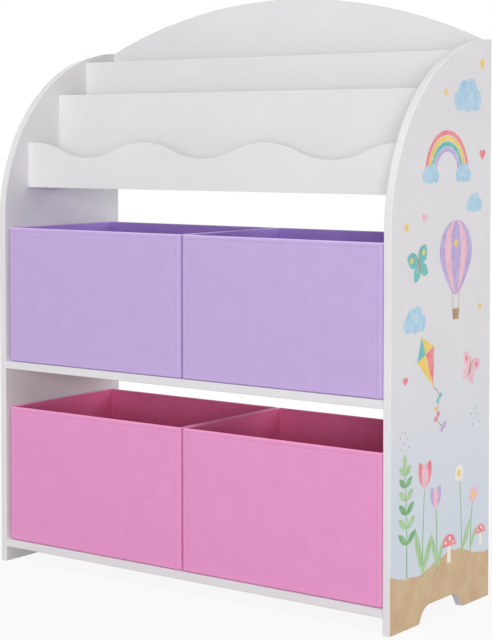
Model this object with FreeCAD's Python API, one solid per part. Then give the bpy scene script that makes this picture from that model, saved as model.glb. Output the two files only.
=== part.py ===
"""Children's shelf unit: stepped book display above two bays with four fabric bins.

Millimetres, +Z up. The origin is on the floor under the middle of the unit, and the open front faces -Y.
"""

import FreeCAD
import Part
import math
import os

Vector = FreeCAD.Vector

# Boards of the cabinet
unit_width = 740.0
unit_depth = 278.0
board_thickness = 12.0
back_thickness = 9.0
edge_radius = 1.0

# Heights, stacked from the floor up
foot_gap = 24.0
lower_bay_height = 277.0
upper_bay_height = 279.0
floor_rise = 56.0
side_over_rear_rail = 18.0
arch_rise = 75.5

# Notch between the two feet of a side panel, with an S-shaped edge at each end
notch_width = 128.0
notch_height = 23.5
notch_foot_radius = 6.0
notch_turn = math.radians(70)

# Book rails: how far each stands above the floor behind it, and how the pockets share the depth
front_rail_setback = 55.0
front_rail_lip = 61.0
plain_rail_lip = 83.0
wave_height = 25.0
wave_length = 233.0
pocket_depth_shares = (0.348, 0.309, 0.343)

# Fabric bins, two to a bay
bin_side_gap = 4.0
bin_middle_gap = 3.0
bin_setback = 5.0
bin_rear_gap = 23.0
bin_height = 215.5
bin_corner_radius = 4.0
cloth_thickness = 1.0
wall_board_thickness = 2.0
wall_board_foot_gap = 2.5
wall_fold_gap = 0.8
base_thickness = 3.0
base_clearance = 1.5

# Blind holes: the radial play of what sits in them, the room past its end, and the board left behind it
hole_play = 0.1
hole_end_room = 1.0
face_skin = 4.0
overrun = 5.0
same_place_share = 0.001

# Wooden dowels
dowel_diameter = 6.0
dowel_length = 28.0
back_dowel_diameter = 5.0
shelf_dowel_shares = (0.36, 0.64)
rail_dowel_shares = (0.25, 0.75)
back_dowel_shares = (0.25, 0.75)
floor_dowel_shares = (0.22, 0.5, 0.78)

# Cam locks in the undersides, and the bolts that they pull on
cam_diameter = 15.0
cam_skin = 2.5
cam_setback = 24.0
cam_cross_length = 8.0
cam_cross_width = 1.6
cam_cross_depth = 1.2
bolt_thread_diameter = 5.0
bolt_shank_diameter = 4.0
bolt_head_diameter = 6.5
bolt_head_length = 3.0
shelf_cam_shares = (0.17, 0.83)

# Countersunk screws, driven from behind into the rear edges of the book floors
screw_diameter = 4.0
screw_length = 35.0
screw_head_diameter = 8.0
screw_point_length = 5.0
screw_cross_length = 4.4
screw_cross_width = 1.0
screw_cross_depth = 1.4
step_screw_shares = (0.1, 0.37, 0.63, 0.9)

# Pilot holes in the back panel for a wall strap
strap_hole_diameter = 3.0
strap_hole_depth = 6.0
strap_hole_spacing = 300.0
strap_hole_drop = 40.0

# Places that follow from the sizes above
half_width = unit_width / 2
inner_half = half_width - board_thickness
inner_width = 2 * inner_half
front_y = -unit_depth / 2
rear_y = unit_depth / 2
back_front_y = rear_y - back_thickness

bottom_shelf_z = foot_gap
middle_shelf_z = bottom_shelf_z + board_thickness + lower_bay_height
front_floor_z = middle_shelf_z + board_thickness + upper_bay_height
floor_zs = [front_floor_z + step * floor_rise for step in range(len(pocket_depth_shares))]
back_foot_z = floor_zs[-1]
rail_feet = [floor_zs[0]] + floor_zs[:-1]
rail_lips = (front_rail_lip, plain_rail_lip, plain_rail_lip)
rail_tops = [z + board_thickness + lip for z, lip in zip(floor_zs, rail_lips)]
side_height = rail_tops[-1] + side_over_rear_rail
unit_height = side_height + arch_rise

pocket_space = back_front_y - front_y - front_rail_setback - len(rail_lips) * board_thickness
rail_fronts = []
floor_fronts = []
floor_rears = []
next_front = front_y + front_rail_setback
for share in pocket_depth_shares:
    rail_fronts.append(next_front)
    floor_fronts.append(next_front + board_thickness)
    floor_rears.append(next_front + board_thickness + share * pocket_space)
    next_front = floor_rears[-1]

face_bite = board_thickness - face_skin
cam_depth = board_thickness - cam_skin
tiers = ("front", "middle", "rear")


def box(x0, x1, y0, y1, z0, z1):
    """A block between two corners."""
    return Part.makeBox(x1 - x0, y1 - y0, z1 - z0, Vector(x0, y0, z0))


def rod_x(radius, x0, x1, y, z):
    """A round bar along X."""
    return Part.makeCylinder(radius, x1 - x0, Vector(x0, y, z), Vector(1, 0, 0))


def rod_y(radius, x, y0, y1, z):
    """A round bar along Y."""
    return Part.makeCylinder(radius, y1 - y0, Vector(x, y0, z), Vector(0, 1, 0))


def cone_y(radius0, radius1, x, y0, y1, z):
    """A tapered round bar along Y."""
    return Part.makeCone(radius0, radius1, y1 - y0, Vector(x, y0, z), Vector(0, 1, 0))


def line(a, b):
    return Part.LineSegment(a, b).toShape()


def arc(a, middle, b):
    return Part.Arc(a, middle, b).toShape()


def prism(edges, direction):
    """A closed outline pulled along a direction into a solid."""
    return Part.Face(Part.Wire(Part.__sortEdges__(edges))).extrude(direction)


def eased(shape, wanted):
    """The shape with its wanted edges rounded to the boards' edge radius."""
    return shape.makeFillet(edge_radius, [edge for edge in shape.Edges if wanted(edge)])


def is_same(a, b):
    return math.isclose(a, b, abs_tol=same_place_share * board_thickness)


def lies_at(edge, side, place):
    """Whether a whole edge lies in the plane X, Y or Z = place."""
    low = getattr(edge.BoundBox, side + "Min")
    high = getattr(edge.BoundBox, side + "Max")
    return is_same(low, place) and is_same(high, place)


def runs_across(edge):
    """Whether an edge runs along the width of the unit."""
    return edge.BoundBox.XLength > board_thickness


def runs_up(edge):
    """Whether an edge is upright."""
    return is_same(edge.BoundBox.XLength, 0) and is_same(edge.BoundBox.YLength, 0)


def both_sides(shapes):
    """Right-hand shapes with their mirror images on the left."""
    return shapes + [shape.mirror(Vector(0, 0, 0), Vector(1, 0, 0)) for shape in shapes]


def cross_slot(length, width, depth):
    """A screwdriver slot that opens at z = 0 and goes up."""
    bar = box(-length / 2, length / 2, -width / 2, width / 2, 0, depth)
    return bar.fuse(box(-width / 2, width / 2, -length / 2, length / 2, 0, depth))


# Fastener places, on the right-hand inner face for those along X
def across_depth(share):
    return front_y + share * unit_depth


def across_width(share):
    return -inner_half + share * inner_width


board_axis = board_thickness / 2
shelf_zs = (bottom_shelf_z, middle_shelf_z)
cam_spots = [(across_depth(s), z) for z in shelf_zs for s in shelf_cam_shares]
cam_spots += [((a + b) / 2, z) for a, b, z in zip(floor_fronts, floor_rears, floor_zs)]

rail_low_tops = [rail_tops[0] - wave_height] + rail_tops[1:]
end_dowel_spots = [(across_depth(s), z + board_axis) for z in shelf_zs for s in shelf_dowel_shares]
for y, foot, top in zip(rail_fronts, rail_feet, rail_low_tops):
    end_dowel_spots += [(y + board_axis, foot + s * (top - foot)) for s in rail_dowel_shares]
back_dowel_spots = [
    (rear_y - back_thickness / 2, back_foot_z + s * (side_height - back_foot_z)) for s in back_dowel_shares
]
floor_dowel_spots = [
    (across_width(s), y, z + board_axis) for y, z in zip(floor_fronts, floor_zs) for s in floor_dowel_shares
]
screwed_rears = [y + board_thickness for y in rail_fronts[1:]] + [rear_y]
step_screw_spots = [
    (across_width(s), y, z + board_axis) for y, z in zip(screwed_rears, floor_zs) for s in step_screw_shares
]


def end_dowel(diameter, spot):
    y, z = spot
    return rod_x(diameter / 2, inner_half + face_bite - dowel_length, inner_half + face_bite, y, z)


def end_dowel_hole(diameter, spot):
    y, z = spot
    deep = inner_half + face_bite - dowel_length - hole_end_room
    return rod_x(diameter / 2 + hole_play, deep, inner_half + face_bite + hole_end_room, y, z)


def floor_dowel(spot):
    x, y, z = spot
    return rod_y(dowel_diameter / 2, x, y - face_bite, y - face_bite + dowel_length, z)


def floor_dowel_hole(spot):
    x, y, z = spot
    start = y - face_bite - hole_end_room
    return rod_y(dowel_diameter / 2 + hole_play, x, start, y - face_bite + dowel_length + hole_end_room, z)


cam_x = inner_half - cam_setback


def cam_bolt(spot):
    """Thread in the side panel, thin shank in the board, and a head in the middle of the cam."""
    y, z = spot[0], spot[1] + board_axis
    head_end = cam_x + bolt_head_length / 2
    head = rod_x(bolt_head_diameter / 2, cam_x - bolt_head_length / 2, head_end, y, z)
    shank = rod_x(bolt_shank_diameter / 2, head_end, inner_half, y, z)
    thread = rod_x(bolt_thread_diameter / 2, inner_half, inner_half + face_bite, y, z)
    return head.fuse([shank, thread])


def cam_bolt_hole(spot):
    y, z = spot[0], spot[1] + board_axis
    thread_end = inner_half + face_bite + hole_end_room
    thread = rod_x(bolt_thread_diameter / 2 + hole_play, inner_half, thread_end, y, z)
    bore = rod_x(bolt_head_diameter / 2 + hole_play, cam_x, inner_half, y, z)
    return thread.fuse(bore)


def cam_lock(spot):
    """A drum with a slot that lets the bolt's head in, and a screwdriver cross underneath."""
    y, z = spot
    drum = Part.makeCylinder(cam_diameter / 2, cam_depth, Vector(cam_x, y, z))
    half_slot = bolt_head_diameter / 2 + hole_play
    slot_x = cam_x - bolt_head_length / 2 - hole_play
    slot_z = z + board_axis - half_slot
    slot = box(slot_x, inner_half, y - half_slot, y + half_slot, slot_z, z + board_thickness)
    cross = cross_slot(cam_cross_length, cam_cross_width, cam_cross_depth)
    cross.translate(Vector(cam_x, y, z))
    return drum.cut([slot, cross])


def cam_lock_hole(spot):
    y, z = spot
    return Part.makeCylinder(cam_diameter / 2 + hole_play, cam_depth + hole_play, Vector(cam_x, y, z))


head_height = (screw_head_diameter - screw_diameter) / 2


def step_screw(spot):
    """Its head is flush with the rear face, and it points to the front."""
    x, y, z = spot
    tip = y - screw_length
    shank_end = tip + screw_point_length
    point = cone_y(0, screw_diameter / 2, x, tip, shank_end, z)
    shank = rod_y(screw_diameter / 2, x, shank_end, y - head_height, z)
    head = cone_y(screw_diameter / 2, screw_head_diameter / 2, x, y - head_height, y, z)
    cross = cross_slot(screw_cross_length, screw_cross_width, screw_cross_depth)
    cross.rotate(Vector(0, 0, 0), Vector(1, 0, 0), 90)
    cross.translate(Vector(x, y, z))
    return point.fuse([shank, head]).cut(cross)


def step_screw_hole(spot):
    x, y, z = spot
    bore = rod_y(screw_diameter / 2 + hole_play, x, y - screw_length - hole_end_room, y - head_height, z)
    sink = cone_y(
        screw_diameter / 2 + hole_play, screw_head_diameter / 2 + hole_play, x, y - head_height, y, z
    )
    return bore.fuse(sink)


# One set of bores drills every board, so the two halves of each hole always line up
end_holes = [end_dowel_hole(dowel_diameter, spot) for spot in end_dowel_spots]
end_holes += [end_dowel_hole(back_dowel_diameter, spot) for spot in back_dowel_spots]
end_holes += [cam_bolt_hole(spot) for spot in cam_spots]
end_holes += [cam_lock_hole(spot) for spot in cam_spots]
bores = both_sides(end_holes)
bores += [floor_dowel_hole(spot) for spot in floor_dowel_spots]
bores += [step_screw_hole(spot) for spot in step_screw_spots]


def drilled(board):
    """The board with every bore that reaches into it."""
    near = [bore for bore in bores if board.BoundBox.intersect(bore.BoundBox)]
    return board.cut(near)


shoulder_radius = notch_height / (1 - math.cos(notch_turn)) - notch_foot_radius
notch_run = (notch_foot_radius + shoulder_radius) * math.sin(notch_turn)


def on_notch_foot(side, turn):
    """A point on the rounded inner corner of a foot, on the rear (1) or front (-1) side of the notch."""
    y = notch_width / 2 - notch_foot_radius * math.sin(turn)
    return Vector(0, side * y, notch_foot_radius * (1 - math.cos(turn)))


def on_notch_shoulder(side, turn):
    """A point on the larger arc between that corner and the flat top of the notch."""
    y = notch_width / 2 - notch_run + shoulder_radius * math.sin(turn)
    return Vector(0, side * y, notch_height - shoulder_radius * (1 - math.cos(turn)))


def notch_end(side):
    """The S-shaped end of the notch: corner arc, then shoulder arc."""
    turns = (0, notch_turn / 2, notch_turn)
    corner = arc(*[on_notch_foot(side, turn) for turn in turns])
    shoulder = arc(*[on_notch_shoulder(side, turn) for turn in turns])
    return [corner, shoulder]


def side_panel():
    """The right-hand panel: its top front corner is one quarter circle across the whole depth."""
    curve_z = side_height - unit_depth
    diagonal = unit_depth * math.sqrt(2) / 2
    front_foot = Vector(0, front_y, 0)
    curve_start = Vector(0, front_y, curve_z)
    curve_middle = Vector(0, rear_y - diagonal, curve_z + diagonal)
    rear_top = Vector(0, rear_y, side_height)
    rear_foot = Vector(0, rear_y, 0)
    outline = [line(front_foot, curve_start), arc(curve_start, curve_middle, rear_top)]
    outline += [line(rear_top, rear_foot), line(rear_foot, on_notch_foot(1, 0))] + notch_end(1)
    outline.append(line(on_notch_shoulder(1, 0), on_notch_shoulder(-1, 0)))
    outline += notch_end(-1) + [line(on_notch_foot(-1, 0), front_foot)]
    panel = prism(outline, Vector(board_thickness, 0, 0))
    panel.translate(Vector(inner_half, 0, 0))
    return eased(panel, lambda edge: lies_at(edge, "X", inner_half) or lies_at(edge, "X", half_width))


def shelf(z):
    """A full-depth shelf between the side panels, with its front and rear edges eased."""
    board = box(-inner_half, inner_half, front_y, rear_y, z, z + board_thickness)
    return eased(board, runs_across)


def plain_rail(y, foot, top):
    """A straight rail, with its two top edges eased."""
    rail = box(-inner_half, inner_half, y, y + board_thickness, foot, top)
    return eased(rail, lambda edge: runs_across(edge) and lies_at(edge, "Z", top))


def wavy_rail(y, foot, top):
    """The front rail: equal arcs make its wavy top edge, with a trough in the middle of the unit."""
    half_wave, quarter_wave = wave_length / 2, wave_length / 4
    inflection_z = top - wave_height / 2
    count = math.ceil(inner_half / half_wave)
    end_x = count * half_wave + quarter_wave
    outline = []
    for i in range(-count, count + 1):
        x = i * half_wave
        extreme_z = top if i % 2 else top - wave_height
        start = Vector(x - quarter_wave, y, inflection_z)
        end = Vector(x + quarter_wave, y, inflection_z)
        outline.append(arc(start, Vector(x, y, extreme_z), end))
    corners = [Vector(end_x, y, inflection_z), Vector(end_x, y, foot), Vector(-end_x, y, foot)]
    corners.append(Vector(-end_x, y, inflection_z))
    outline += [line(a, b) for a, b in zip(corners, corners[1:])]
    strip = prism(outline, Vector(0, board_thickness, 0))
    rail = strip.common(box(-inner_half, inner_half, y, y + board_thickness, foot, top))
    return eased(rail, lambda edge: runs_across(edge) and not lies_at(edge, "Z", foot))


def back_panel():
    """Closes the book tiers behind, with an arched top edge between the side panels."""
    left_foot = Vector(-inner_half, back_front_y, back_foot_z)
    right_foot = Vector(inner_half, back_front_y, back_foot_z)
    left_top = Vector(-inner_half, back_front_y, side_height)
    right_top = Vector(inner_half, back_front_y, side_height)
    peak = Vector(0, back_front_y, unit_height)
    outline = [line(left_foot, left_top), arc(left_top, peak, right_top), line(right_top, right_foot)]
    outline.append(line(right_foot, left_foot))
    panel = prism(outline, Vector(0, back_thickness, 0))
    panel = eased(panel, lambda edge: runs_across(edge) and not lies_at(edge, "Z", back_foot_z))
    strap_z = side_height - strap_hole_drop
    hole_bottom = rear_y - strap_hole_depth
    for x in (-strap_hole_spacing / 2, strap_hole_spacing / 2):
        panel = panel.cut(rod_y(strap_hole_diameter / 2, x, hole_bottom, rear_y + overrun, strap_z))
    return panel


def bin_pieces(x0, shelf_top):
    """One bin: sewn cover, bottom cloth, four wall boards, lining and loose base."""
    x1 = x0 + bin_width
    y0 = front_y + bin_setback
    y1 = rear_y - bin_rear_gap
    z0 = shelf_top
    z1 = shelf_top + bin_height
    in_cover = cloth_thickness
    in_boards = in_cover + wall_board_thickness
    in_lining = in_boards + cloth_thickness
    in_base = in_lining + base_clearance
    base_z = z0 + cloth_thickness
    wall_foot = base_z + wall_board_foot_gap
    wall_top = z1 - cloth_thickness

    def inset(depth, low, high):
        return box(x0 + depth, x1 - depth, y0 + depth, y1 - depth, low, high)

    def rounded(depth, low, high):
        block = inset(depth, low, high)
        return block.makeFillet(bin_corner_radius - depth, [edge for edge in block.Edges if runs_up(edge)])

    cover = rounded(0, z0, z1)
    cover = cover.cut([rounded(in_cover, z0 - overrun, wall_top), inset(in_boards, z0, z1 + overrun)])
    lining = inset(in_boards, base_z, z1).cut(inset(in_lining, base_z - overrun, z1 + overrun))

    fold = bin_corner_radius + wall_fold_gap
    left, right = x0 + fold, x1 - fold
    side_start, side_end = y0 + fold, y1 - fold
    return {
        "cover": cover,
        "bottom_cloth": rounded(in_cover, z0, base_z),
        "front_board": box(left, right, y0 + in_cover, y0 + in_boards, wall_foot, wall_top),
        "back_board": box(left, right, y1 - in_boards, y1 - in_cover, wall_foot, wall_top),
        "left_board": box(x0 + in_cover, x0 + in_boards, side_start, side_end, wall_foot, wall_top),
        "right_board": box(x1 - in_boards, x1 - in_cover, side_start, side_end, wall_foot, wall_top),
        "lining": lining,
        "base_insert": inset(in_base, base_z, base_z + base_thickness),
    }


pieces = {}

right_panel = side_panel()
left_panel = right_panel.mirror(Vector(0, 0, 0), Vector(1, 0, 0))
pieces["left_side_panel"] = drilled(left_panel)
pieces["right_side_panel"] = drilled(right_panel)
pieces["back_panel"] = drilled(back_panel())
pieces["bottom_shelf"] = drilled(shelf(bottom_shelf_z))
pieces["middle_shelf"] = drilled(shelf(middle_shelf_z))

rails = [wavy_rail(rail_fronts[0], rail_feet[0], rail_tops[0])]
rails += [plain_rail(*place) for place in zip(rail_fronts[1:], rail_feet[1:], rail_tops[1:])]
for tier, rail in zip(tiers, rails):
    pieces[tier + "_book_rail"] = drilled(rail)
for tier, y0, y1, z in zip(tiers, floor_fronts, floor_rears, floor_zs):
    pieces[tier + "_book_floor"] = drilled(box(-inner_half, inner_half, y0, y1, z, z + board_thickness))

pieces["cam_locks"] = Part.makeCompound(both_sides([cam_lock(spot) for spot in cam_spots]))
pieces["cam_bolts"] = Part.makeCompound(both_sides([cam_bolt(spot) for spot in cam_spots]))
end_dowels = [end_dowel(dowel_diameter, spot) for spot in end_dowel_spots]
pieces["end_dowels"] = Part.makeCompound(both_sides(end_dowels))
back_dowels = [end_dowel(back_dowel_diameter, spot) for spot in back_dowel_spots]
pieces["back_dowels"] = Part.makeCompound(both_sides(back_dowels))
pieces["floor_dowels"] = Part.makeCompound([floor_dowel(spot) for spot in floor_dowel_spots])
pieces["step_screws"] = Part.makeCompound([step_screw(spot) for spot in step_screw_spots])

bin_width = (inner_width - 2 * bin_side_gap - bin_middle_gap) / 2
left_bin_x = -inner_half + bin_side_gap
right_bin_x = left_bin_x + bin_width + bin_middle_gap
for row, z in (("lower", bottom_shelf_z), ("upper", middle_shelf_z)):
    for column, x in (("left", left_bin_x), ("right", right_bin_x)):
        for part, shape in bin_pieces(x, z + board_thickness).items():
            pieces[f"{row}_{column}_bin_{part}"] = shape

os.makedirs("parts", exist_ok=True)
for name, shape in pieces.items():
    shape.exportStep(f"parts/{name}.step")
    print(f"{name}: {len(shape.Solids)} solid(s), {shape.Volume / 1000:.1f} cm3, valid {shape.isValid()}")
print(f"unit {unit_width:.0f} x {unit_depth:.0f} x {unit_height:.1f} mm, bin {bin_width:.0f} mm wide")
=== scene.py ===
# %% [markdown]
# # A children's shelf unit: painted board, sewn bins and a printed side
#
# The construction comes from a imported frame: boards, fasteners and the plain solids of four cloth bins.
# A flat board with eased edges already has its right shape there, so it only needs a finish.
# Cloth and print have no good shape in the frame, so they get meshes of their own.
# Everything is in metres, in the frame's own place: the origin is on the floor, the open front faces -Y.

# %% Load the frame and keep its box
import math

import bmesh
import bpy
import numpy as np
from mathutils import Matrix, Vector, noise


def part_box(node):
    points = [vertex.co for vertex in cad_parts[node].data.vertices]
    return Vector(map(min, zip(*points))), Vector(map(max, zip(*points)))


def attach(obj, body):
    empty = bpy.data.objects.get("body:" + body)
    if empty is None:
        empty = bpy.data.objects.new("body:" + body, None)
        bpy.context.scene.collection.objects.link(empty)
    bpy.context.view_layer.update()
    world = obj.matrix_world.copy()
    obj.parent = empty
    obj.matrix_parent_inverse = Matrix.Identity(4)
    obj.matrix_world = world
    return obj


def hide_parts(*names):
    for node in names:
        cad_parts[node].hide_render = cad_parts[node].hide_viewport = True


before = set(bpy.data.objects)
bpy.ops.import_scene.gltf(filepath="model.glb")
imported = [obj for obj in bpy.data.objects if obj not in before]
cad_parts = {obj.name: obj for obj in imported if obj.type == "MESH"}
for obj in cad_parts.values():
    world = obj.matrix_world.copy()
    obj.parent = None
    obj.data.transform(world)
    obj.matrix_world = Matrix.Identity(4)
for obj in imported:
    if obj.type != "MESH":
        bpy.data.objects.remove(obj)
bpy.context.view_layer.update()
mm = 0.001

# %% [markdown]
# ## The camera
#
# A product photo of furniture is taken with a long lens, nearly level, so that uprights stay upright.
# Tilting the camera down to centre the unit would make its sides lean together. A photographer shifts the
# lens instead, and Blender's camera has the same shift. Here most of the framing is shift, a little is tilt.

# %% Camera
camera_place = (1.6220, -2.1509, 0.6812)
camera_yaw = math.radians(36.66)
camera_pitch = math.radians(2.455)

camera = bpy.data.cameras.new("camera")
camera.lens = 98.1
camera.sensor_width = 36
camera.shift_y = -0.165
viewer = bpy.data.objects.new("camera", camera)
viewer.location = camera_place
viewer.rotation_euler = (math.pi / 2 - camera_pitch, 0, camera_yaw)
scene = bpy.context.scene
scene.collection.objects.link(viewer)
scene.camera = viewer
scene.view_settings.view_transform = "Standard"
print("camera:", round(camera.lens, 1), "mm lens, shifted by", round(camera.shift_y, 3))

# %% [markdown]
# ## Helpers for all materials
#
# Colours are easiest to read off as sRGB hex values, but shaders count in linear light, so one function
# turns the first into the second. Another adds a node: its settings are the node's own properties, and each
# input takes a plain value, a hex colour or the output of another node, which is then linked. Inputs go by
# name, or by number where names repeat: a Mix of colours takes them at 6 and 7 and gives the blend at 2.

# %% Colour and node helpers
def linear(colour):
    """The linear RGBA of an sRGB hex colour such as #e6e2e6."""
    channels = [int(colour[i : i + 2], 16) / 255 for i in (1, 3, 5)]
    return [c / 12.92 if c <= 0.04045 else ((c + 0.055) / 1.055) ** 2.4 for c in channels] + [1.0]


def add(tree, kind, inputs=None, **settings):
    """Adds a node with its settings, fills its inputs and returns its outputs."""
    made = tree.nodes.new("ShaderNode" + kind)
    for name, value in settings.items():
        setattr(made, name, value)
    for socket, value in (inputs or {}).items():
        if isinstance(value, bpy.types.NodeSocket):
            tree.links.new(value, made.inputs[socket])
        else:
            made.inputs[socket].default_value = linear(value) if isinstance(value, str) else value
    return made.outputs


def new_material(name, flat_map=None):
    """An empty material, its nodes, and the place that its patterns follow, on the object or a flat map."""
    material = bpy.data.materials.new(name)
    material.use_nodes = True
    tree = material.node_tree
    tree.nodes.clear()
    place = add(tree, "UVMap", uv_map=flat_map)[0] if flat_map else add(tree, "TexCoord")["Object"]
    return material, tree, place


print("white paint in linear light:", [round(c, 3) for c in linear("#e7e5e7")[:3]])

# %% [markdown]
# ## Two habits of real surfaces
#
# Hardly any real surface has one even colour, and hardly any is quite smooth. So nearly every finish below
# wanders between two close tones, in patches of a real size, and ends in a relief of a real depth. Noise in
# the material does both. A photographed texture could too, but would have to be unwrapped onto each board.

# %% Tones and relief
def toned(tree, colour, pattern, reach, tone, most=1.0):
    """A colour that goes over into another tone where a pattern goes through its reach."""
    ramp = {"Value": pattern, "From Min": reach[0], "From Max": reach[1], "To Max": most}
    share = add(tree, "MapRange", ramp)[0]
    return add(tree, "Mix", {"Factor": share, 6: colour, 7: tone}, data_type="RGBA")[2]


def mottled(tree, place, size, tones, reach=(0.0, 1.0), **pattern):
    """Noise in patches of one size, and a colour that wanders with it between two tones."""
    patches = add(tree, "TexNoise", {"Vector": place, "Scale": 1 / size, **pattern})[0]
    return patches, toned(tree, tones[0], patches, reach, tones[1])


def surface(tree, look, relief, depth, strength):
    """Ends a material: relief of a real depth, one shader with the given look, and the output."""
    bump = add(tree, "Bump", {"Height": relief, "Strength": strength, "Distance": depth})[0]
    shader = add(tree, "BsdfPrincipled", {**look, "Normal": bump})[0]
    add(tree, "OutputMaterial", {"Surface": shader})


print("helpers for tones, mottling and relief are ready")

# %% [markdown]
# ## Sprayed board
#
# The cabinet is medium-density fibreboard with a sprayed matt white lacquer. Fibreboard has no grain, so the
# eye gets three quiet things: a broad cloudiness where the coat is thicker or thinner, an uneven sheen, and
# orange peel, the fine ripple that spray leaves, some 2 mm from crest to crest. The ripple only shows where
# light grazes it, so it belongs in the bump and not in the colour.

# %% White lacquer, and the boards that wear it
board_white, thin_white = "#e7e5e7", "#e3e1e3"
coat_cloud = 70 * mm
orange_peel, peel_depth = 2 * mm, 0.02 * mm
filler_tooth, tooth_share = 0.5 * mm, 0.35


def lacquer(tree, place, colour):
    """Matt lacquer over a colour: uneven sheen, orange peel and the finer tooth of the filler below it."""
    cloud = add(tree, "TexNoise", {"Vector": place, "Scale": 1 / coat_cloud, "Detail": 2.0})[0]
    sheen = add(tree, "MapRange", {"Value": cloud, "To Min": 0.44, "To Max": 0.56})[0]
    peel = add(tree, "TexNoise", {"Vector": place, "Scale": 1 / orange_peel, "Detail": 1.0})[0]
    tooth = add(tree, "TexNoise", {"Vector": place, "Scale": 1 / filler_tooth, "Detail": 3.0})[0]
    relief = add(tree, "Math", {0: tooth, 1: tooth_share, 2: peel}, operation="MULTIPLY_ADD")[0]
    look = {"Base Color": colour, "Roughness": sheen, "IOR": 1.5, "Specular IOR Level": 0.4}
    surface(tree, look, relief, peel_depth, 0.6)


def coat_colour(tree, place):
    """The white of the coat, a trace greyer where it is thin."""
    return mottled(tree, place, 2 * coat_cloud, (board_white, thin_white), (0.35, 0.75), Detail=3.0)[1]


def sprayed_board():
    material, tree, place = new_material("sprayed_fibreboard_white")
    lacquer(tree, place, coat_colour(tree, place))
    return material


def dress(node, material):
    """Gives a piece of the frame one finish all over."""
    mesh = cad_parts[node].data
    mesh.materials.clear()
    mesh.materials.append(material)
    mesh.polygons.foreach_set("material_index", [0] * len(mesh.polygons))


white_boards = ["back_panel", "bottom_shelf", "middle_shelf"]
for tier in ("front", "middle", "rear"):
    white_boards += [tier + "_book_rail", tier + "_book_floor"]
white_lacquer = sprayed_board()
for board in white_boards:
    dress(board, white_lacquer)
print("white lacquer on", len(white_boards), "boards")

# %% [markdown]
# ## Sky and ground
#
# The two side panels wear the same lacquer, and their outer faces are printed: a pale sky wash that deepens
# downwards, and a band of sandy ground along the foot, with a rolling and slightly ragged top. Washes have
# no hard form, so they aren't modelled. They are drawn in the material, from the height above the floor.

# %% Sky wash and ground
wash_top, wash_foot, wash_cloud = 460 * mm, 90 * mm, 90 * mm
ground_height, ground_swell = 74 * mm, 9 * mm
ground_wave, ground_shift = 205 * mm, 0.7
ground_lump, lump_height, ground_blur = 26 * mm, 12 * mm, 1.5 * mm
sand_blotch, sand_speck = 30 * mm, 1.6 * mm


def sky_share(tree, place, height):
    """How much of the sky wash lies on the white: more towards the floor, and never quite even."""
    fall = {"Value": height, "From Min": wash_top, "From Max": wash_foot, "To Max": 0.95}
    sky = add(tree, "MapRange", fall, interpolation_type="SMOOTHSTEP")[0]
    bleed = add(tree, "TexNoise", {"Vector": place, "Scale": 1 / wash_cloud, "Detail": 5.0})[0]
    uneven = add(tree, "MapRange", {"Value": bleed, "From Min": 0.3, "From Max": 0.7, "To Min": 0.75})[0]
    return add(tree, "Math", {0: sky, 1: uneven}, operation="MULTIPLY")[0]


def ground_share(tree, place, depth, height):
    """1 below the top of the ground and 0 above it."""
    wave = {0: depth, 1: 2 * math.pi / ground_wave, 2: ground_shift}
    turn = add(tree, "Math", wave, operation="MULTIPLY_ADD")[0]
    swell = add(tree, "Math", {0: turn}, operation="SINE")[0]
    rim = add(tree, "Math", {0: swell, 1: ground_swell, 2: ground_height}, operation="MULTIPLY_ADD")[0]
    lumps = add(tree, "TexNoise", {"Vector": place, "Scale": 1 / ground_lump, "Detail": 1.5})[0]
    ragged = add(tree, "Math", {0: lumps, 1: lump_height, 2: rim}, operation="MULTIPLY_ADD")[0]
    below = add(tree, "Math", {0: ragged, 1: height}, operation="SUBTRACT")[0]
    return add(tree, "MapRange", {"Value": below, "From Max": ground_blur})[0]


def sand(tree, place):
    """Sand in two tones, with darker specks."""
    tones = ("#d6bc96", "#ccac86")
    _, dry = mottled(tree, place, sand_blotch, tones, (0.32, 0.68), Detail=4.0, Distortion=0.4)
    grains = add(tree, "TexNoise", {"Vector": place, "Scale": 1 / sand_speck, "Detail": 2.0})[0]
    return toned(tree, dry, grains, (0.58, 0.72), "#b48d66", 0.6)


print("sky wash from", round(wash_top / mm), "mm down, ground some", round(ground_height / mm), "mm high")

# %% [markdown]
# ## The printed side panels
#
# A panel is printed flat on its outer face, so its eased edges and its inside stay white. The face could get
# a material of its own. A test on the distance from the middle of the unit does the same inside one
# material, for both panels at once, and leaves the mesh as it is.

# %% Side panels
panel_low, panel_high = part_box("right_side_panel")
face_x = panel_high.x
print_edge = 0.3 * mm


def printed_board():
    material, tree, place = new_material("printed_fibreboard")
    across, depth, height = add(tree, "SeparateXYZ", {0: place})
    far = add(tree, "Math", {0: across}, operation="ABSOLUTE")[0]
    outer = add(tree, "Math", {0: far, 1: face_x - print_edge}, operation="GREATER_THAN")[0]
    sky = (sky_share(tree, place, height), "#d3dde9")
    ground = (ground_share(tree, place, depth, height), sand(tree, place))
    paint = coat_colour(tree, place)
    for share, colour in (sky, ground):
        on_face = add(tree, "Math", {0: share, 1: outer}, operation="MULTIPLY")[0]
        paint = toned(tree, paint, on_face, (0.0, 1.0), colour)
    lacquer(tree, place, paint)
    return material


printed_sides = printed_board()
for panel in ("left_side_panel", "right_side_panel"):
    dress(panel, printed_sides)
panel_size = [round(length / mm) for length in panel_high - panel_low]
print("printed panels, thickness, depth and height:", panel_size, "mm")

# %% [markdown]
# ## What holds the boards together
#
# Beech dowels, die-cast zinc cam locks, and zinc-plated bolts and screws sit in the boards. Only the cams
# show under the shelves, and screw heads behind. Raw beech gives the eye flecks and pores, drawn out along
# the dowel. Pores are some 0.1 mm wide, and are drawn at 0.4 mm so that they show. Cast zinc is dull and
# cloudy, and plating is smoother, with a warm and cold play in its colour. The frame has their shapes. One
# function makes both metals, which differ only in tone, cloud and polish.

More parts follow.
